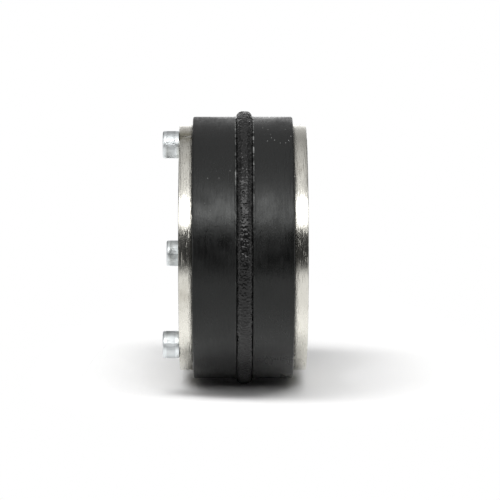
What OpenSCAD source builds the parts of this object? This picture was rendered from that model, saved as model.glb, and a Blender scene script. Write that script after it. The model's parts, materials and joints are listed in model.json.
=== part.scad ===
// Rubber expansion joint, annular type. Two rubber rings and a sealing bead sit between two steel
// pressure rings, and three cap screws draw the rings together, so that the rubber swells against
// the pipe inside it and the bore around it.
// Units are millimetres. X runs along the bore, from the screw heads to the tapped ring, and Z is up.
// The origin is on the bore's axis, in the middle of the rubber's width.

/* [Rubber rings] */
// Outside diameter of both rubber rings
rubber_d = 98; // [96:0.5:99]
// Bore that the pipe goes through
bore_d = 64; // [60:0.5:66]
// Width of both rubber rings together, along the axis
rubber_w = 37; // [34:0.5:45]
// How far the seam between the rubber rings lies behind the middle
seam_x = 0.5; // [0:0.1:1]
// Chamfer on the free corners of the rubber
rubber_chamfer = 0.6; // [0.2:0.1:1]

/* [Sealing bead] */
// Crown diameter of the bead, before it is squeezed into a bore
bead_d = 102; // [101:0.5:103]
// Widest part of the bead's section
bead_w = 6.2; // [6:0.1:7]
// Radius of the bead's rounded shoulders
bead_shoulder_r = 2.7; // [2.4:0.1:2.9]
// Depth of the bead's flat back below the rubber's surface
bead_depth = 1.5; // [1:0.1:2]
// How much lower the bead is at the bottom, where the joint stands on it
bead_squash = 0.6; // [0.5:0.1:0.9]
// Width of the sole that the squashed bead stands on
sole_w = 6; // [5:0.1:6]

/* [Pressure rings] */
// Outside diameter of both steel rings
ring_d = 92; // [91:0.5:94]
// Hole in the middle of both steel rings
ring_bore_d = 68; // [66:0.5:72]
// Thickness of each steel ring
ring_t = 5; // [4:0.5:8]
// Chamfer on the rings' corners
ring_chamfer = 0.4; // [0.2:0.1:0.8]

/* [Cap screws] */
// Number of screws, evenly spaced
screw_count = 3; // [3:1:6]
// Diameter of the circle that the screws are on
screw_circle_d = 85; // [83:0.5:85]
// Angle of the first screw from straight up, towards -Y
screw_angle = 18; // [0:1:120]
// Thread diameter
screw_d = 6; // [5.5:0.1:6]
// Length under the head
screw_l = 45; // [44:0.5:46]
// Head diameter
head_d = 10; // [9:0.1:10.5]
// Head height
head_h = 6; // [5:0.1:7]
// Hexagon socket, across its flats
socket_af = 5; // [4:0.5:5]
// Depth of the hexagon socket
socket_depth = 3; // [2:0.1:4]
// Diameter of the screw holes in the front ring, which leave only a thin wall at its rim
front_hole_d = 6.6; // [6.4:0.1:6.8]

/* [Hidden] */

$fn = 96;
// Overshoot of a cutting shape past the face that it cuts
cut = 1;
// Gap between a screw and the hole that it is threaded or pushed through, on the radius
running_gap = 0.05;
// Gap on each side of the bead in its groove
bead_gap = 0.2;
// Chamfer at the mouth of a tapped hole
tap_chamfer = 0.5;
// Chamfer on the crown of a screw head, and the taper at a screw's tip
head_chamfer = 0.5;
tip_chamfer = 0.7;
// The drilled hollow at the bottom of the socket: its depth, and the ledge left around it
socket_cone_h = 0.6;
socket_ledge = 0.3;

rubber_front_x = -rubber_w / 2;
rubber_rear_x = rubber_w / 2;
bead_centre_r = rubber_d / 2 - 0.5;
bead_back_r = rubber_d / 2 - bead_depth;
bead_crown_r = bead_d / 2;
bead_sole_r = bead_crown_r - bead_squash;
// Half of the sole's length around the bottom, which is where the crown comes down to its level
sole_half_l = sqrt(pow(bead_crown_r, 2) - pow(bead_sole_r, 2));

// Turns a shape that was drawn along Z to lie along X, with its base at x
module along_x(x) {
    translate([x, 0, 0]) rotate([0, 90, 0]) children();
}

// A ring with a rectangular section and one chamfer size for each of its four corners
module turned_ring(outer_r, inner_r, width, outer_front, outer_rear, inner_front, inner_rear) {
    rotate_extrude()
        polygon([
            [inner_r + inner_front, 0],
            [outer_r - outer_front, 0],
            [outer_r, outer_front],
            [outer_r, width - outer_rear],
            [outer_r - outer_rear, width],
            [inner_r + inner_rear, width],
            [inner_r, width - inner_rear],
            [inner_r, inner_front]
        ]);
}

// Moves its children from the bore's axis to one screw's axis, which is also along X
module at_screw(number) {
    rotate([screw_angle + (number - 1) * 360 / screw_count, 0, 0])
        translate([0, 0, screw_circle_d / 2])
            children();
}

// Straight holes for all the screws, from x_low to x_high
module screw_holes(diameter, x_low, x_high) {
    for (number = [1 : screw_count])
        at_screw(number)
            along_x(x_low) cylinder(d = diameter, h = x_high - x_low);
}

// Section of the sealing bead, wider by gap on each side, and cut off at crown_r
module bead_section(gap, crown_r) {
    shoulder_y = bead_w / 2 - bead_shoulder_r;
    intersection() {
        union() {
            for (side = [-1, 1])
                translate([bead_centre_r, side * shoulder_y]) circle(r = bead_shoulder_r + gap);
            translate([bead_centre_r - bead_shoulder_r - gap, -shoulder_y])
                square([2 * (bead_shoulder_r + gap), 2 * shoulder_y]);
        }
        translate([bead_back_r, -bead_w])
            square([crown_r - bead_back_r, 2 * bead_w]);
    }
}

// Half of this groove is in each rubber ring, and the bead lies in it
module bead_groove() {
    along_x(seam_x) rotate_extrude() bead_section(bead_gap, bead_crown_r + cut);
}

module front_pressure_ring() {
    ring_front_x = rubber_front_x - ring_t;
    color([0.78, 0.77, 0.74])
        difference() {
            along_x(ring_front_x)
                turned_ring(ring_d / 2, ring_bore_d / 2, ring_t,
                            ring_chamfer, ring_chamfer, ring_chamfer, ring_chamfer);
            screw_holes(front_hole_d, ring_front_x - cut, rubber_front_x + cut);
        }
}

module rear_pressure_ring() {
    ring_rear_x = rubber_rear_x + ring_t;
    tapped_d = screw_d + 2 * running_gap;
    color([0.78, 0.77, 0.74])
        difference() {
            along_x(rubber_rear_x)
                turned_ring(ring_d / 2, ring_bore_d / 2, ring_t,
                            ring_chamfer, ring_chamfer, ring_chamfer, ring_chamfer);
            screw_holes(tapped_d, rubber_rear_x - cut, ring_rear_x + cut);
            for (number = [1 : screw_count])
                at_screw(number)
                    along_x(ring_rear_x - tap_chamfer)
                        cylinder(d1 = tapped_d, d2 = tapped_d + 2 * tap_chamfer, h = tap_chamfer);
        }
}

module front_rubber_ring() {
    color([0.10, 0.10, 0.10])
        difference() {
            along_x(rubber_front_x)
                turned_ring(rubber_d / 2, bore_d / 2, seam_x - rubber_front_x,
                            rubber_chamfer, 0, rubber_chamfer, 0);
            bead_groove();
            screw_holes(screw_d + 4 * running_gap, rubber_front_x - cut, seam_x + cut);
        }
}

module rear_rubber_ring() {
    color([0.10, 0.10, 0.10])
        difference() {
            along_x(seam_x)
                turned_ring(rubber_d / 2, bore_d / 2, rubber_rear_x - seam_x,
                            0, rubber_chamfer, 0, rubber_chamfer);
            bead_groove();
            screw_holes(screw_d + 4 * running_gap, seam_x - cut, rubber_rear_x + cut);
        }
}

module sealing_bead() {
    color([0.07, 0.07, 0.07]) {
        difference() {
            along_x(seam_x) rotate_extrude() bead_section(0, bead_crown_r);
            translate([seam_x - bead_w, -2 * sole_half_l, -bead_crown_r - cut])
                cube([2 * bead_w, 4 * sole_half_l, bead_crown_r - bead_sole_r + cut]);
        }
        translate([seam_x - sole_w / 2, -sole_half_l, -bead_sole_r])
            cube([sole_w, 2 * sole_half_l, bead_sole_r - rubber_d / 2]);
    }
}

// A hexagon socket cap screw whose head rests on the front ring
module cap_screw(number) {
    seat_x = rubber_front_x - ring_t;
    socket_r = socket_af / 2 / cos(30);
    color([0.82, 0.84, 0.85])
        at_screw(number)
            difference() {
                union() {
                    along_x(seat_x - head_h)
                        cylinder(d1 = head_d - 2 * head_chamfer, d2 = head_d, h = head_chamfer);
                    along_x(seat_x - head_h + head_chamfer)
                        cylinder(d = head_d, h = head_h - head_chamfer);
                    along_x(seat_x)
                        cylinder(d = screw_d, h = screw_l - tip_chamfer);
                    along_x(seat_x + screw_l - tip_chamfer)
                        cylinder(d1 = screw_d, d2 = screw_d - 2 * tip_chamfer, h = tip_chamfer);
                }
                along_x(seat_x - head_h - cut)
                    cylinder(r = socket_r, h = socket_depth + cut, $fn = 6);
                along_x(seat_x - head_h + socket_depth)
                    cylinder(d1 = socket_af - 2 * socket_ledge, d2 = 0, h = socket_cone_h, $fn = 48);
            }
}

front_pressure_ring();
rear_pressure_ring();
front_rubber_ring();
rear_rubber_ring();
sealing_bead();
cap_screw(1);  // cap_screw_1
cap_screw(2);  // cap_screw_2
cap_screw(3);  // cap_screw_3
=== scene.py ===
# %% [markdown]
# # Rubber expansion joint
# Two black rubber rings and a rough rubber bead are held between two turned steel rings, and three
# knurled cap screws draw the steel rings together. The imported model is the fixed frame: every piece
# below takes its place and its size from it, and only adds the finish and the small shapes that the
# real one shows.

# %% Load the frame
import json
import math

import bmesh
import bpy
from mathutils import Matrix, Vector, noise


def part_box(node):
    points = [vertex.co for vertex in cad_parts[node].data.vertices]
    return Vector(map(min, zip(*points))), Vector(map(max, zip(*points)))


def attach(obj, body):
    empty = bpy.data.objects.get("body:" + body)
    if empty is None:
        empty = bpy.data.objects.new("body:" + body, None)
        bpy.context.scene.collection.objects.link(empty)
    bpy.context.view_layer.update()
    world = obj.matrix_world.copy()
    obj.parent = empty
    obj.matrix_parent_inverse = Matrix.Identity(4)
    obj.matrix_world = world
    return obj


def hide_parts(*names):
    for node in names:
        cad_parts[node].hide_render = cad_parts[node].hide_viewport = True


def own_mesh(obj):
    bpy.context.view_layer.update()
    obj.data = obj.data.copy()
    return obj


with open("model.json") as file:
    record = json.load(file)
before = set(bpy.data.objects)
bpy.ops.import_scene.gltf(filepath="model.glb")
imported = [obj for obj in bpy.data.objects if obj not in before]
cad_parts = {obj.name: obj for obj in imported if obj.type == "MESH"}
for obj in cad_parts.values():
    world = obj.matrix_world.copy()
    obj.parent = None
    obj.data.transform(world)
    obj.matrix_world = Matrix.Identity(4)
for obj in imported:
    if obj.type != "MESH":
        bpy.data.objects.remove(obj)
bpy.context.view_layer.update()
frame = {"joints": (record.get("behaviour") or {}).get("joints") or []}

# %% [markdown]
# The frame is in metres, with the bore along X and Z up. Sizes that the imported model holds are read
# from the boxes of its nodes, so that a change there is followed here. The screws' axes come from the
# joints, which are where the screws turn.

# %% Read sizes and places from the frame
MM = 0.001
steel_front, steel_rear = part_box("front_pressure_ring"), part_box("rear_pressure_ring")
front_face_x, rubber_front_x = steel_front[0].x, steel_front[1].x
rubber_rear_x, rear_face_x = steel_rear[0].x, steel_rear[1].x
steel_r = steel_front[1].z
rubber_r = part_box("front_rubber_ring")[1].z
seam_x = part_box("front_rubber_ring")[1].x
bead_low, bead_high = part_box("sealing_bead")
bead_r, floor_z = bead_high.z, bead_low.z
head_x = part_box("cap_screw_1")[0].x
tip_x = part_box("cap_screw_1")[1].x
screw_axes = [joint["pos_m"][1:] for joint in frame["joints"] if joint["type"] == "hinge"]
print("steel radius", round(steel_r / MM, 2), "rubber radius", round(rubber_r / MM, 2),
      "bead radius", round(bead_r / MM, 2), "screws", len(screw_axes))

# %% [markdown]
# The other sizes are those of the real parts: M6 screws, the bores, and the edges that a lathe or a
# mould leaves. Each round shape is spun with enough steps that its outline looks smooth.

# %% Sizes that a box doesn't show
steel_bore_r = 34 * MM
rubber_bore_r = 32 * MM
steel_chamfer = 0.4 * MM
rubber_edge = 0.6 * MM
groove_half = 3.06 * MM
groove_floor_r = 47.5 * MM
bead_half = 2.84 * MM
front_hole_r = 3.3 * MM
rubber_hole_r = 3.1 * MM
thread_r = 3.0 * MM
thread_cut = 0.54 * MM
tap_gap = 0.05 * MM
pitch = 1.0 * MM
steel_steps, rubber_steps, bead_steps = 288, 720, 1260
hole_steps, thread_steps, tap_steps, socket_steps = 64, 48, 40, 48
every_screw = range(len(screw_axes))
print("pitch", pitch, "groove", 2 * groove_half / MM, "mm wide")

# %% [markdown]
# Everything on this object was turned on a lathe or moulded in a turned mould. So nearly every piece
# starts as a few corners of its section, which are spun once round the X axis. The operator makes all
# the faces. The first and last sections are merged, and the normals are worked out again after that.
# Rows of points are added where a surface is to be shaped further.

# %% Helpers: spin, pick edges, bevel
merge_distance = 1e-7
corner_tolerance = 5e-6


def spin_once(bm, geom, steps):
    bmesh.ops.spin(bm, geom=geom, cent=(0, 0, 0), axis=(1, 0, 0), angle=math.tau, steps=steps,
                   use_merge=True)
    bmesh.ops.remove_doubles(bm, verts=bm.verts, dist=merge_distance)
    bmesh.ops.recalc_face_normals(bm, faces=bm.faces)


def spun(outline, steps):
    """A closed outline of (x, radius) corners, spun once round the X axis."""
    bm = bmesh.new()
    corners = [bm.verts.new((x, 0.0, r)) for x, r in outline]
    sides = [bm.edges.new(pair) for pair in zip(corners, corners[1:] + corners[:1])]
    spin_once(bm, corners + sides, steps)
    return bm


def radius(point):
    return math.hypot(point.y, point.z)


def scale_radius(v, factor):
    v.co.y *= factor
    v.co.z *= factor


def add_rows(bm, places):
    """Cuts through all the faces with a plane at each x."""
    for x in places:
        bmesh.ops.bisect_plane(bm, geom=bm.verts[:] + bm.edges[:] + bm.faces[:],
                               plane_co=(x, 0, 0), plane_no=(1, 0, 0))


def rim_edges(bm, *corners):
    """The edges that run round the X axis at these (x, radius) corners."""
    def near(v, x, r):
        return max(abs(v.co.x - x), abs(radius(v.co) - r)) < corner_tolerance
    return [e for e in bm.edges
            if any(near(e.verts[0], x, r) and near(e.verts[1], x, r) for x, r in corners)]


def bevel(bm, edges, width, segments):
    bmesh.ops.bevel(bm, geom=edges, offset=width, offset_type="OFFSET", segments=segments,
                    profile=0.5, affect="EDGES", material=-1)


# %% [markdown]
# A hole is cut with a Boolean modifier, whose result is then kept as the mesh. The cutter is a shape
# of its own, moved to a screw's axis and thrown away afterwards. Last, a piece is shaded smooth with
# its real corners kept sharp.

# %% Helpers: objects, holes, shading
def add_piece(name, bm):
    mesh = bpy.data.meshes.new(name)
    bm.to_mesh(mesh)
    bm.free()
    piece = bpy.data.objects.new(name, mesh)
    bpy.context.scene.collection.objects.link(piece)
    return piece


def keep_modifiers(piece):
    graph = bpy.context.evaluated_depsgraph_get()
    solid = bpy.data.meshes.new_from_object(piece.evaluated_get(graph))
    piece.modifiers.clear()
    piece.data = solid


def combine(piece, tool_bm, operation="DIFFERENCE"):
    tool = add_piece("tool", tool_bm)
    step = piece.modifiers.new("combine", "BOOLEAN")
    step.operation, step.solver, step.object = operation, "EXACT", tool
    keep_modifiers(piece)
    bpy.data.objects.remove(tool)


def shade(piece, corner=32):
    piece.data.shade_smooth()
    piece.data.set_sharp_from_angle(angle=math.radians(corner))
    bm = bmesh.new()
    bm.from_mesh(piece.data)
    open_edges = sum(1 for e in bm.edges if not e.is_manifold)
    triangles = sum(len(f.verts) - 2 for f in bm.faces)
    print(piece.name, "triangles", triangles, "open edges", open_edges)
    bm.free()


def at_screw(bm, number):
    """Moves a shape from the X axis to a screw's axis."""
    y, z = screw_axes[number]
    bmesh.ops.translate(bm, verts=bm.verts, vec=(0, y, z))
    return bm


def rod(r, x_low, x_high):
    return spun([(x_low, 0), (x_low, r), (x_high, r), (x_high, 0)], hole_steps)


# %% [markdown]
# The front steel ring is a flat turned washer. The ring is spun, its corners are beveled as a lathe
# tool breaks them, and the holes are cut right through. They are so close to the rim that only a thin
# wall is left, and over the first screw it has torn in a crooked crack. The crack's cutter is a thin
# grid, bent into place by a formula and given its depth by an extrusion.

# %% The front steel ring
def steel_ring(name, x_low, x_high):
    bm = spun([(x_low, steel_bore_r), (x_low, steel_r), (x_high, steel_r), (x_high, steel_bore_r)],
              steel_steps)
    corners = [(x, r) for x in (x_low, x_high) for r in (steel_r, steel_bore_r)]
    bevel(bm, rim_edges(bm, *corners), steel_chamfer, 2)
    return add_piece(name, bm)


front_steel = steel_ring("turned_front_ring", front_face_x, rubber_front_x)
for number in every_screw:
    combine(front_steel, at_screw(rod(front_hole_r, front_face_x - MM, rubber_front_x + MM), number))


def crooked_crack():
    """A thin crooked cutter on the rim, over the first screw's hole."""
    screw_y, screw_z = screw_axes[0]
    r, outwards = steel_r - 0.28 * MM, 1.012
    length, early = 5.6, 0.3
    bm = bmesh.new()
    bmesh.ops.create_grid(bm, x_segments=10, y_segments=1, size=0.5)
    for v in bm.verts:
        along, side = v.co.x + 0.5, v.co.y * 2
        crook = 0.09 * along ** 3 + 0.004 * math.sin(9 * along)
        half = (0.14 + 0.08 * math.sin(math.pi * along)) * MM
        angle = math.atan2(-screw_y, screw_z) + crook + side * half / r
        v.co = (front_face_x + (along * length - early) * MM, -r * math.sin(angle), r * math.cos(angle))
    top = bmesh.ops.extrude_face_region(bm, geom=bm.faces[:])["geom"]
    rise = [v for v in top if isinstance(v, bmesh.types.BMVert)]
    bmesh.ops.scale(bm, vec=(1, outwards, outwards), verts=rise)
    bmesh.ops.recalc_face_normals(bm, faces=bm.faces)
    return bm


combine(front_steel, crooked_crack())
shade(front_steel)

# %% [markdown]
# A thread is a helix, so its height at any point depends only on how far along and how far round that
# point is. A smooth rod with many rows is spun, and each point is moved in or out by that rule. The
# same rule makes the screws and the taps that cut the rear ring's holes, so they always fit.

# %% Helper: threaded rod
rows_each_turn = 8
fade_length = 1.5 * pitch


def thread_depth(x, angle):
    """From 0 at the crest to 1 at the root of a right-hand thread."""
    crest, flank = 0.16, 0.68
    turn = ((x - tip_x) / pitch - angle / math.tau) % 1.0
    return min(max((abs(turn - 0.5) * 2 - crest) / flank, 0.0), 1.0)


def threaded_rod(r, x_low, x_high, steps, fade_from=None):
    """A rod with a thread on it, which starts at fade_from and deepens over the next turns."""
    bm = bmesh.new()
    corners = [bm.verts.new((x, 0.0, at_r)) for x, at_r in
               ((x_low, 0), (x_low, r), (x_high, r), (x_high, 0))]
    sides = [bm.edges.new(pair) for pair in zip(corners, corners[1:])]
    rows = round((x_high - x_low) / pitch * rows_each_turn)
    bmesh.ops.subdivide_edges(bm, edges=[sides[1]], cuts=rows - 1)
    spin_once(bm, bm.verts[:] + bm.edges[:], steps)
    for v in bm.verts:
        if radius(v.co) > r / 2:
            cut = thread_cut * thread_depth(v.co.x, math.atan2(v.co.z, v.co.y))
            if fade_from is not None:
                cut *= min(max((v.co.x - fade_from) / fade_length, 0.0), 1.0)
            scale_radius(v, 1 - cut / r)
    return bm


# %% [markdown]
# The rear steel ring is the same washer, but its holes are tapped for the screws, with a small
# countersink at each mouth.

# %% The rear steel ring
mouth_from, mouth_to, mouth_r = rear_face_x - 0.5 * MM, rear_face_x + 0.1 * MM, 3.55 * MM
rear_steel = steel_ring("turned_rear_ring", rubber_rear_x, rear_face_x)
for number in every_screw:
    tap = threaded_rod(thread_r + tap_gap, rubber_rear_x - MM, rear_face_x + MM, tap_steps)
    combine(rear_steel, at_screw(tap, number))
    mouth = spun([(mouth_from, 0), (mouth_from, thread_r - 0.4 * MM), (mouth_to, mouth_r),
                  (mouth_to, 0)], socket_steps)
    combine(rear_steel, at_screw(mouth, number))
shade(rear_steel)

# %% [markdown]
# Each rubber ring is thick and soft, with rounded free corners. Where the bead sits, the rubber has a
# groove whose edge was pushed up into a thin, uneven lip. The ring is spun with many steps, rows are
# added near the lip with cutting planes, and the points there are raised by smooth noise that repeats
# nowhere round the ring.

# %% The two rubber rings
def waviness(point, size, seed):
    """Smooth noise from -1 to 1, with lumps of about this size."""
    return noise.noise(point / size + Vector((seed, seed * 1.7, -seed)))


def rubber_ring(name, free_x, side, seed):
    """side is -1 for the front ring and +1 for the rear ring."""
    groove_slope, seam_edge, skin_depth = 0.14 * MM, 0.25 * MM, 0.9 * MM
    edge_x = seam_x + side * groove_half
    floor_x = seam_x + side * (groove_half - groove_slope)
    bm = spun([(free_x, rubber_bore_r), (free_x, rubber_r), (edge_x, rubber_r),
               (floor_x, groove_floor_r), (seam_x, groove_floor_r), (seam_x, rubber_bore_r)],
              rubber_steps)
    bevel(bm, rim_edges(bm, (free_x, rubber_r), (free_x, rubber_bore_r)), rubber_edge, 4)
    bevel(bm, rim_edges(bm, (seam_x, rubber_bore_r)), seam_edge, 2)
    rows = (0.12, 0.25, 0.4, 0.6, 0.85, 1.2, 2.5, 4.5, 7, 10)
    add_rows(bm, [edge_x + side * away * MM for away in rows])
    for v in bm.verts:
        r = radius(v.co)
        if r < rubber_r - skin_depth:
            continue
        away = abs(v.co.x - edge_x) / MM
        lip = max(0.0, 1 - abs(away - 0.2) / 0.55)
        rise = lip * (0.17 + 0.16 * waviness(v.co, 2.2 * MM, seed)
                      + 0.10 * waviness(v.co, 0.8 * MM, seed + 3)) * MM
        rise += 0.035 * MM * waviness(v.co, 7 * MM, seed + 5)
        scale_radius(v, 1 + rise / r)
    piece = add_piece(name, bm)
    low, high = sorted((free_x + side * MM, seam_x - side * MM))
    for number in every_screw:
        combine(piece, at_screw(rod(rubber_hole_r, low, high), number))
    shade(piece, 40)
    return piece


front_rubber = rubber_ring("front_rubber", rubber_front_x, -1, 11.3)
rear_rubber = rubber_ring("rear_rubber", rubber_rear_x, 1, 27.9)

# %% [markdown]
# The sealing bead was laid in as soft rubber compound, and its skin set in pebbles and pits. Pebbles
# are real height, since they show in the outline, so they aren't left to a bump. A plain bead is spun
# with over a thousand steps, and each point is moved along its normal by cell noise. That height is
# also kept with the point, for the finish to read. The part that the joint stands on is pressed flat
# on the floor.

# %% The sealing bead
def pebbles(point):
    """Height of the bead's skin, in metres, from the distances to scattered cell centres."""
    near, far = noise.voronoi(point / (1.15 * MM))[0][:2]
    lumps = min(far - near, 0.45) / 0.45
    fine = waviness(point, 0.5 * MM, 4.4)
    broad = waviness(point, 3.0 * MM, 8.8)
    pit_near = noise.voronoi(point / (1.9 * MM) + Vector((7, 3, 5)))[0][0]
    pit = max(0.0, 1 - pit_near / 0.3)
    return (0.22 * lumps + 0.10 * fine + 0.14 * broad - 0.32 * pit - 0.14) * MM


crown_round, foot_round, rough_from_r = 2.15 * MM, 0.3 * MM, rubber_r - 0.7 * MM
low, high = seam_x - bead_half, seam_x + bead_half
bm = spun([(low, groove_floor_r), (low, bead_r), (high, bead_r), (high, groove_floor_r)], bead_steps)
bevel(bm, rim_edges(bm, (low, bead_r), (high, bead_r)), crown_round, 12)
bevel(bm, rim_edges(bm, (low, groove_floor_r), (high, groove_floor_r)), foot_round, 2)
add_rows(bm, [seam_x + away * MM for away in (-0.45, -0.22, 0.0, 0.22, 0.45)])
bm.normal_update()
skin_height = bm.verts.layers.float.new("skin_height")
for v in bm.verts:
    if radius(v.co) > rough_from_r:
        height = pebbles(v.co)
        v[skin_height] = height / MM
        v.co += v.normal * height
    v.co.z = max(v.co.z, floor_z)
bead = add_piece("pebbled_bead", bm)
shade(bead, 180)

# %% [markdown]
# A cap screw is one forged and rolled part. Its head has a smooth crown band, a fine straight knurl
# and a smooth band at its base. Four steps are spun for each knurl tooth, so a wave round the head can
# let the points down between the teeth, and how far is kept with each point. The hexagon socket, and
# the drilled cone at its bottom, are cut afterwards, and the threaded shank is joined on as one solid.

# %% The cap screws
head_r, tooth_count, knurl_depth = 5.0 * MM, 60, 0.10 * MM
knurl_from, knurl_to = head_x + 1.35 * MM, front_face_x - 1.3 * MM
knurl_end, knurl_inset = 0.15 * MM, 0.1 * MM
thread_length, tip_chamfer = 24 * MM, 0.7 * MM
socket_half = 2.5 * MM


def knurled_head():
    outline = [(head_x, 0), (head_x, head_r), (knurl_from, head_r), (knurl_from + knurl_end, head_r),
               (knurl_to - knurl_end, head_r), (knurl_to, head_r), (front_face_x, head_r),
               (front_face_x, 0)]
    bm = spun(outline, 4 * tooth_count)
    bevel(bm, rim_edges(bm, (head_x, head_r)), 0.6 * MM, 4)
    bevel(bm, rim_edges(bm, (front_face_x, head_r)), 0.15 * MM, 2)
    groove = bm.verts.layers.float.new("groove")
    for v in bm.verts:
        on_knurl = knurl_from + knurl_inset < v.co.x < knurl_to - knurl_inset
        if on_knurl and radius(v.co) > head_r / 2:
            wave = 0.5 - 0.5 * math.cos(tooth_count * math.atan2(v.co.z, v.co.y))
            v[groove] = wave
            scale_radius(v, 1 - knurl_depth * wave / head_r)
    return bm


def shank():
    bm = threaded_rod(thread_r, front_face_x - 0.5 * MM, tip_x, thread_steps, tip_x - thread_length)
    for v in bm.verts:
        past = v.co.x - (tip_x - tip_chamfer)
        if past > 0 and radius(v.co) > MM:
            scale_radius(v, min(radius(v.co), thread_r - past) / radius(v.co))
    return bm


def socket(turned):
    """A hexagon bar that reaches 3 mm into the head."""
    bm = bmesh.new()
    corner_r = socket_half / math.cos(math.pi / 6)
    bmesh.ops.create_cone(bm, cap_ends=True, segments=6, radius1=corner_r, radius2=corner_r,
                          depth=4 * MM)
    bmesh.ops.rotate(bm, verts=bm.verts, matrix=Matrix.Rotation(math.pi / 2, 3, "Y"))
    bmesh.ops.rotate(bm, verts=bm.verts, matrix=Matrix.Rotation(turned, 3, "X"))
    bmesh.ops.translate(bm, verts=bm.verts, vec=(head_x + MM, 0, 0))
    return bm


def screw(number):
    piece = add_piece(f"knurled_screw_{number + 1}", knurled_head())
    combine(piece, shank(), "UNION")
    combine(piece, socket(0.35 * number))
    drill_from, cone_to, drill_to = head_x + 2.9 * MM, head_x + 3.6 * MM, head_x + 3.8 * MM
    combine(piece, spun([(drill_from, 0), (drill_from, 2.2 * MM), (cone_to, 0.9 * MM),
                         (drill_to, 0)], socket_steps))
    entry_from, entry_to = head_x - 0.1 * MM, head_x + 0.45 * MM
    combine(piece, spun([(entry_from, 0), (entry_from, 3.05 * MM), (entry_to, socket_half),
                         (entry_to, 0)], socket_steps))
    y, z = screw_axes[number]
    piece.data.transform(Matrix.Translation((0, y, z)))
    shade(piece, 28)
    return piece


screws = [screw(number) for number in every_screw]

# %% [markdown]
# A material is a tree of nodes. To keep the maths readable, a small class stands for one socket, and
# Python's operators add Math nodes to the tree. Every other node comes from one method, which sets the
# node's settings first and then its sockets.

# %% Helpers: shader sockets as Python values
class Wire:
    """An output socket. The operators add Math nodes behind it."""

    def __init__(self, board, socket):
        self.board, self.socket = board, socket

    def other(self, name):
        return Wire(self.board, self.socket.node.outputs[name])

    def __add__(self, value):
        return self.board.math("ADD", self, value)

    def __sub__(self, value):
        return self.board.math("SUBTRACT", self, value)

    def __mul__(self, value):
        return self.board.math("MULTIPLY", self, value)

    def __truediv__(self, value):
        return self.board.math("DIVIDE", self, value)

    def __rsub__(self, value):
        return self.board.math("SUBTRACT", value, self)

    __radd__ = __add__


class Board:
    """A node tree, and the ways to add to it."""

    def __init__(self, tree):
        self.tree = tree
        tree.nodes.clear()

    def add(self, kind, settings=None, inputs=None, output=0):
        node = self.tree.nodes.new("ShaderNode" + kind)
        for name, value in (settings or {}).items():
            if name == "stops":
                for at, level in value[2:]:
                    node.color_ramp.elements.new(at)
                for element, (at, level) in zip(node.color_ramp.elements, value):
                    element.position, element.color = at, (level, level, level, 1)
            else:
                setattr(node, name, value)
        for name, value in (inputs or {}).items():
            if isinstance(value, Wire):
                self.tree.links.new(value.socket, node.inputs[name])
            else:
                node.inputs[name].default_value = value
        return Wire(self, node.outputs[output]) if node.outputs else None

    def math(self, operation, *values):
        return self.add("Math", {"operation": operation}, dict(enumerate(values)))

    def step(self, value, low, high):
        """0 below low, 1 above high, and smooth between them."""
        return self.add("MapRange", {"interpolation_type": "SMOOTHSTEP"},
                        {"Value": value, "From Min": low, "From Max": high})

    def blend(self, factor, first, second):
        """Mixes two colours."""
        return self.add("Mix", {"data_type": "RGBA"}, {0: factor, 6: first, 7: second}, 2)

    def grain(self, vector, scale, detail=2.0, rough=0.5):
        return self.add("TexNoise", {}, {"Vector": vector, "Scale": scale, "Detail": detail,
                                         "Roughness": rough})

    def cells(self, vector, scale):
        """The distance to the nearest cell centre."""
        return self.add("TexVoronoi", {}, {"Vector": vector, "Scale": scale})

    def vector(self, x, y, z):
        return self.add("CombineXYZ", {}, {"X": x, "Y": y, "Z": z})

    def split(self, vector):
        parts = self.add("SeparateXYZ", {}, {"Vector": vector}, "X")
        return parts, parts.other("Y"), parts.other("Z")


def grey(level, warm=0.0):
    return (level * (1 + warm), level, level * (1 - warm), 1)


print("shader helpers ready")

# %% [markdown]
# A lathe leaves marks that run round the axis. Their pattern needs the distance along the axis, the
# distance from it and the angle round it, worked out from Object coordinates. The angle jumps once
# round, and that place is turned to the bottom.

# %% Helper: start and finish a material
def new_finish(name):
    material = bpy.data.materials.new(name)
    material.use_nodes = True
    board = Board(material.node_tree)
    return material, board, board.add("TexCoord", output="Object")


def round_axis(board, y, z):
    """The distance from the X axis, and the angle round it."""
    return board.math("SQRT", y * y + z * z), board.math("ARCTAN2", y, z)


def complete(board, inputs, height, distance):
    """Adds the shader, with the height as a bump, and its output."""
    bump = board.add("Bump", {}, {"Height": height, "Distance": distance, "Strength": 1.0})
    shader = board.add("BsdfPrincipled", {}, {**inputs, "Normal": bump})
    board.add("OutputMaterial", {}, {"Surface": shader})


# %% [markdown]
# The steel rings are bright turned steel, a little warm in colour. Fine rings from the tool cover
# them, so the bump and the roughness follow the distance along and from the axis. Short dull dashes
# run the same way, faint stains lie over it all, and the front ring's rim is darker brown round its
# crack.

# %% Finish: turned steel
steel, board, place = new_finish("turned_steel_finish")
x, y, z = board.split(place)
r, angle = round_axis(board, y, z)
tool_marks = board.grain(board.vector(x * 5200, r * 5200, angle * 1.6), 1.0, 3.0, 0.65)
broad_marks = board.grain(board.vector(x * 1100, r * 1100, angle * 0.9), 1.0, 2.0)
brushed = board.grain(board.vector(x * 3000, r * 3000, angle * 9), 1.0, 2.0, 0.5)
dashes = board.step(board.grain(board.vector(x * 2400, r * 2400, angle * 13), 1.0, 2.0, 0.55),
                    0.55, 0.72)
cloud = board.grain(place, 260.0, 4.0, 0.6)
stain = board.step(board.grain(place, 70.0, 4.0, 0.6), 0.5, 0.78)
steel_dark, steel_light = (0.74, 0.72, 0.65, 1), (0.93, 0.91, 0.84, 1)
stain_brown, crack_brown = (0.42, 0.38, 0.30, 1), (0.32, 0.29, 0.19, 1)
colour = board.blend(tool_marks * 0.6 + broad_marks * 0.4, steel_dark, steel_light)
colour = board.blend(stain * 0.35, colour, stain_brown)
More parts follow.
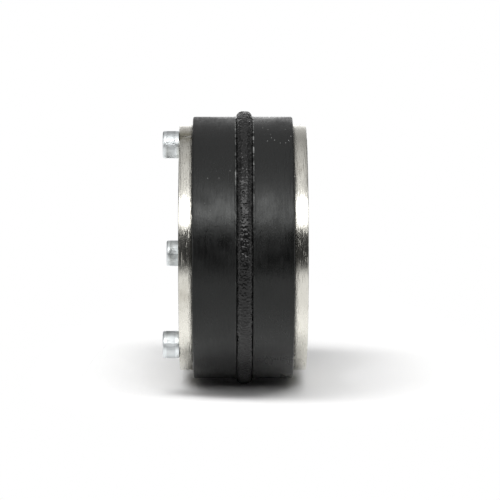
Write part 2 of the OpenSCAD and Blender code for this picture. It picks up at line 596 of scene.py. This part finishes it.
over_screw = [value * steel_r / math.hypot(*screw_axes[0]) for value in screw_axes[0]]
dx, dy, dz = x - front_face_x, y - over_screw[0], z - over_screw[1]
away = board.math("SQRT", dx * dx * 0.25 + dy * dy + dz * dz)
# The rim is made darker brown round the crack in the front ring.
crack_darkening = (1 - board.step(away, 0.001, 0.0075)) * board.step(cloud, 0.3, 0.55)
colour = board.blend(crack_darkening * 0.85, colour, crack_brown)
height = tool_marks * 0.12 + broad_marks * 0.2 + brushed - dashes * 0.25
roughness = 0.14 + broad_marks * 0.10 + stain * 0.12 + dashes * 0.24
complete(board, {"Base Color": colour, "Metallic": 1.0, "Roughness": roughness}, height, 0.0001)

# %% [markdown]
# The rubber is black, satin and slightly uneven, as it comes out of a turned mould. It has soft marks
# round the axis and fine grain. Low down, most on the right, it is painted a lighter grey as painted
# light from the floor. Talc lies along the raised lips, most of it near the top, and pale specks are
# scattered near the top too.

# %% Finish: black rubber
rubber, board, place = new_finish("black_rubber_finish")
x, y, z = board.split(place)
r, angle = round_axis(board, y, z)
cloudy = board.grain(place, 34.0, 3.0, 0.55)
mottle = board.grain(place, 130.0, 4.0, 0.6)
streaks = board.grain(board.vector(x * 1300, r * 1300, angle * 9), 1.0, 3.0, 0.6)
fine = board.grain(place, 2600.0, 2.0, 0.7)
from_seam = board.math("ABSOLUTE", x - seam_x)
on_lip = board.step(from_seam, 0.00295, 0.00312) * (1 - board.step(from_seam, 0.0034, 0.0039))
lip_top = board.step(r, rubber_r + 0.00004, rubber_r + 0.0002)
up_high = board.step(z, 0.012, 0.036)
patchy = board.step(board.grain(place, 260.0, 3.0, 0.6), 0.40, 0.62)
talc = on_lip * lip_top * (0.15 + up_high * 0.85) * patchy
speck = 1 - board.step(board.cells(place, 700.0), 0.10, 0.17)
speck = speck * board.step(board.grain(place, 110.0, 2.0), 0.60, 0.66) * up_high
crumb = 1 - board.step(board.cells(place, 560.0), 0.07, 0.13)
crumb = crumb * board.step(x, 0.005, 0.008) * (1 - board.step(y, -0.014, -0.006))
crumb = crumb * board.step(z, 0.0405, 0.043) * (1 - board.step(z, 0.0458, 0.047))
speck = board.math("MAXIMUM", speck * 0.6, crumb)
colour = board.blend(mottle * 0.4 + streaks * 0.3 + cloudy * 0.3, grey(0.001), grey(0.009, -0.01))
# Painted light: the rubber is made lighter grey low down, most on the right, for the light that the
# floor throws up.
low_down = board.step(z * -1.0, 0.02, 0.045)
floor_light_painted = low_down * (0.4 + board.step(x, 0.0, 0.012) * 0.6) * (0.3 + cloudy)
colour = board.blend(floor_light_painted * 0.6, colour, grey(0.09))
talc_white = (0.55, 0.56, 0.55, 1)
colour = board.blend(talc * 0.42 + speck * 0.5, colour, talc_white)
worn = board.step(cloudy * 0.6 + mottle * 0.4, 0.38, 0.62)
height = mottle * 2.2 + streaks * 2.6 + fine * 0.3
roughness = 0.16 + worn * 0.19 + streaks * 0.26 - board.step(x, -0.01, 0.01) * 0.06
complete(board, {"Base Color": colour, "Roughness": roughness, "IOR": 1.47,
                 "Specular Tint": (0.975, 1, 0.985, 1)}, height, 0.00005)

# %% [markdown]
# The bead is the same black rubber, but cast rough. Its pebbles are in the mesh, so the finish only
# adds a finer grain. It reads the height of the skin that the mesh keeps: the hollows are duller and
# are painted darker as painted shade, and the tops are painted paler, partly as wear and partly as
# painted glints.

# %% Finish: bead rubber
cast, board, place = new_finish("bead_rubber_finish")
fine = board.grain(place, 1900.0, 3.0, 0.7)
mottle = board.grain(place, 420.0, 3.0, 0.6)
skin = board.add("Attribute", {"attribute_name": "skin_height"}, output="Fac")
tops = board.step(skin, -0.2, 0.2)
worn = board.step(skin, 0.0, 0.25) * board.step(mottle, 0.42, 0.6)
# Painted shade: the hollows of the skin get a darker colour than the tops.
colour = board.blend(tops, grey(0.002), grey(0.012))
# The paler worn tops are partly wear and partly painted glints.
colour = board.blend(worn * 0.4, colour, grey(0.06, 0.02))
roughness = 0.20 - tops * 0.07 + fine * 0.10
complete(board, {"Base Color": colour, "Roughness": roughness, "IOR": 1.48},
         fine * 0.6 + mottle * 1.4, 0.00008)

# %% [markdown]
# The screws are zinc plated: a bright, slightly blue metal skin, a little cloudy and with a fine
# grain. The grooves of the knurl are painted darker, as painted shade.

# %% Finish: plated screws
zinc, board, place = new_finish("plated_screw_finish")
cloud = board.grain(place, 420.0, 3.0, 0.6)
fine = board.grain(place, 3800.0, 2.0, 0.6)
groove = board.add("Attribute", {"attribute_name": "groove"}, output="Fac")
zinc_dull, zinc_bright, knurl_groove_shade = (0.84, 0.88, 0.89, 1), (0.94, 0.975, 0.985, 1), (0.36, 0.38, 0.38, 1)
colour = board.blend(cloud, zinc_dull, zinc_bright)
# Painted shade: the knurl's grooves are coloured darker.
colour = board.blend(groove * 0.55, colour, knurl_groove_shade)
complete(board, {"Base Color": colour, "Metallic": 1.0, "Roughness": 0.38 + cloud * 0.1},
         fine, 0.00001)

# %% [markdown]
# Now each piece gets its finish, and is tied to the frame: it rides on its body, and the node that it
# stands for is hidden. The rubber and the bead also get a mesh of their own.


def tie(piece, material, body, node, soft=False):
    piece.data.materials.clear()
    piece.data.materials.append(material)
    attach(piece, body)
    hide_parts(node)
    if soft:
        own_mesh(piece)


tie(front_steel, steel, "rubber_and_front_ring", "front_pressure_ring")
tie(rear_steel, steel, "rear_ring", "rear_pressure_ring")
tie(front_rubber, rubber, "rubber_and_front_ring", "front_rubber_ring", True)
tie(rear_rubber, rubber, "rubber_and_front_ring", "rear_rubber_ring", True)
tie(bead, cast, "rubber_and_front_ring", "sealing_bead", True)
for number, piece in enumerate(screws, 1):
    tie(piece, zinc, f"screw_{number}", f"cap_screw_{number}")

# %% [markdown]
# The joint stands on a white table. The table is a large disc that is seen near the joint only, where
# the shadows fall. It fades out all round, so that it runs into the white backdrop with no line, and
# the fade reaches further behind the joint than beside it and in front.

# %% The table
bm = bmesh.new()
bmesh.ops.create_circle(bm, cap_ends=True, segments=96, radius=9.0)
bmesh.ops.translate(bm, verts=bm.verts, vec=(0, 4.0, floor_z))
table = add_piece("table", bm)
paper, board, place = new_finish("table_finish")
x, y, _ = board.split(place)
beside_reach, front_reach, back_reach = 0.11, 0.1, 0.27
sideways = (x - 0.01) / beside_reach
ahead = board.math("SQRT", sideways * sideways + (y / front_reach) * (y / front_reach))
back = board.math("SQRT", sideways * sideways + (y / back_reach) * (y / back_reach))
behind = board.step(y, -0.01, 0.01)
how_far = board.add("Mix", {"data_type": "FLOAT"}, {0: behind, 2: ahead, 3: back})
seen = 1 - board.step(how_far, 0.25, 0.85)
plain = board.add("BsdfPrincipled", {}, {"Base Color": grey(0.86), "Roughness": 0.9,
                                         "Specular IOR Level": 0.0})
clear = board.add("BsdfTransparent")
mixed = board.add("MixShader", {}, {0: seen, 1: clear, 2: plain})
board.add("OutputMaterial", {}, {"Surface": mixed})
table.data.materials.append(paper)
print("table at z", round(floor_z / MM, 2), "mm")

# %% [markdown]
# The light is that of a plain room with one wide, soft light in front of and above the object. What
# the object mirrors is made in the world, as a ramp over the height in the sky, so that it has no noise
# and its edges are soft. A metal rim shows it as a bright band above a dark one. The ramp is turned by
# the angle that the camera looks down at. Matt surfaces get little of it: their light and the soft
# shadow come from a wide lamp overhead, which isn't mirrored. The camera itself sees plain white.

# %% The studio light
elevation = math.radians(9)
sky_strength, matt_loss = 4.35, 0.90
world = bpy.data.worlds.new("studio")
bpy.context.scene.world = world
world.use_nodes = True
board = Board(world.node_tree)
x, y, z = board.split(board.add("TexCoord", output="Generated"))
over = (board.math("ARCTAN2", z, y * -1.0) - elevation) / math.pi
heights = [(0.0, 0.005), (0.097, 0.005), (0.137, 1.0), (0.24, 1.0), (0.268, 0.22), (0.372, 0.18),
           (0.433, 0.165), (0.506, 0.138), (0.583, 0.105), (0.683, 0.072), (0.78, 0.1),
           (0.84, 0.15), (0.9, 0.29), (0.972, 0.62)]
sky = board.add("ValToRGB", {"stops": heights}, {"Fac": over})
sideways = board.math("ABSOLUTE", x)
sky = sky * (1 - board.step(sideways, 0.15, 0.45) * 0.7) + board.step(sideways, 0.65, 0.95) * 0.12
below = board.step(z * -1.0, 0.12, 0.33)
sky = sky * (1 - below) + below * 0.195
rays = board.add("LightPath", output="Is Camera Ray")
seen_white, scattered = rays, rays.other("Is Diffuse Ray")
sky = sky * (1 - scattered * matt_loss)
light = board.add("Background", {}, {"Color": sky, "Strength": sky_strength})
white = board.add("Background", {}, {"Color": (1, 1, 1, 1), "Strength": 1.0})
both = board.add("MixShader", {}, {0: seen_white, 1: light, 2: white})
board.add("OutputWorld", {}, {"Surface": both})
lamp = bpy.data.lights.new("soft_box", "AREA")
lamp.shape = "RECTANGLE"
lamp.size, lamp.size_y = 2.6, 0.4
lamp.energy = 31
soft_box = bpy.data.objects.new("soft_box", lamp)
bpy.context.scene.collection.objects.link(soft_box)
towards, lamp_distance = Vector((-0.05, -0.28, 1.0)).normalized(), 1.3
soft_box.matrix_world = (Matrix.Translation(towards * lamp_distance)
                         @ towards.to_track_quat("Z", "Y").to_matrix().to_4x4())
soft_box.visible_glossy = False
bpy.context.scene.view_settings.view_transform = "Standard"
print("studio light ready")

# %% [markdown]
# The camera looks almost square at the side of the joint and a little down on it, from 1.05 m away
# with a long lens, so that the far and near screws are almost the same size.

# %% The camera
distance, turn = 1.05, math.radians(0.45)
aim = Vector((2.7 * MM, 0, -1.0 * MM))
lens = bpy.data.cameras.new("camera")
lens.lens, lens.sensor_width = 201.3, 36
lens.clip_start = 0.01
camera = bpy.data.objects.new("camera", lens)
bpy.context.scene.collection.objects.link(camera)
camera.matrix_world = (Matrix.Translation(aim) @ Matrix.Rotation(-turn, 4, "Z")
                       @ Matrix.Rotation(-elevation, 4, "X") @ Matrix.Translation((0, -distance, 0))
                       @ Matrix.Rotation(math.pi / 2, 4, "X"))
bpy.context.scene.camera = camera
print("camera at", [round(value, 4) for value in camera.matrix_world.translation])
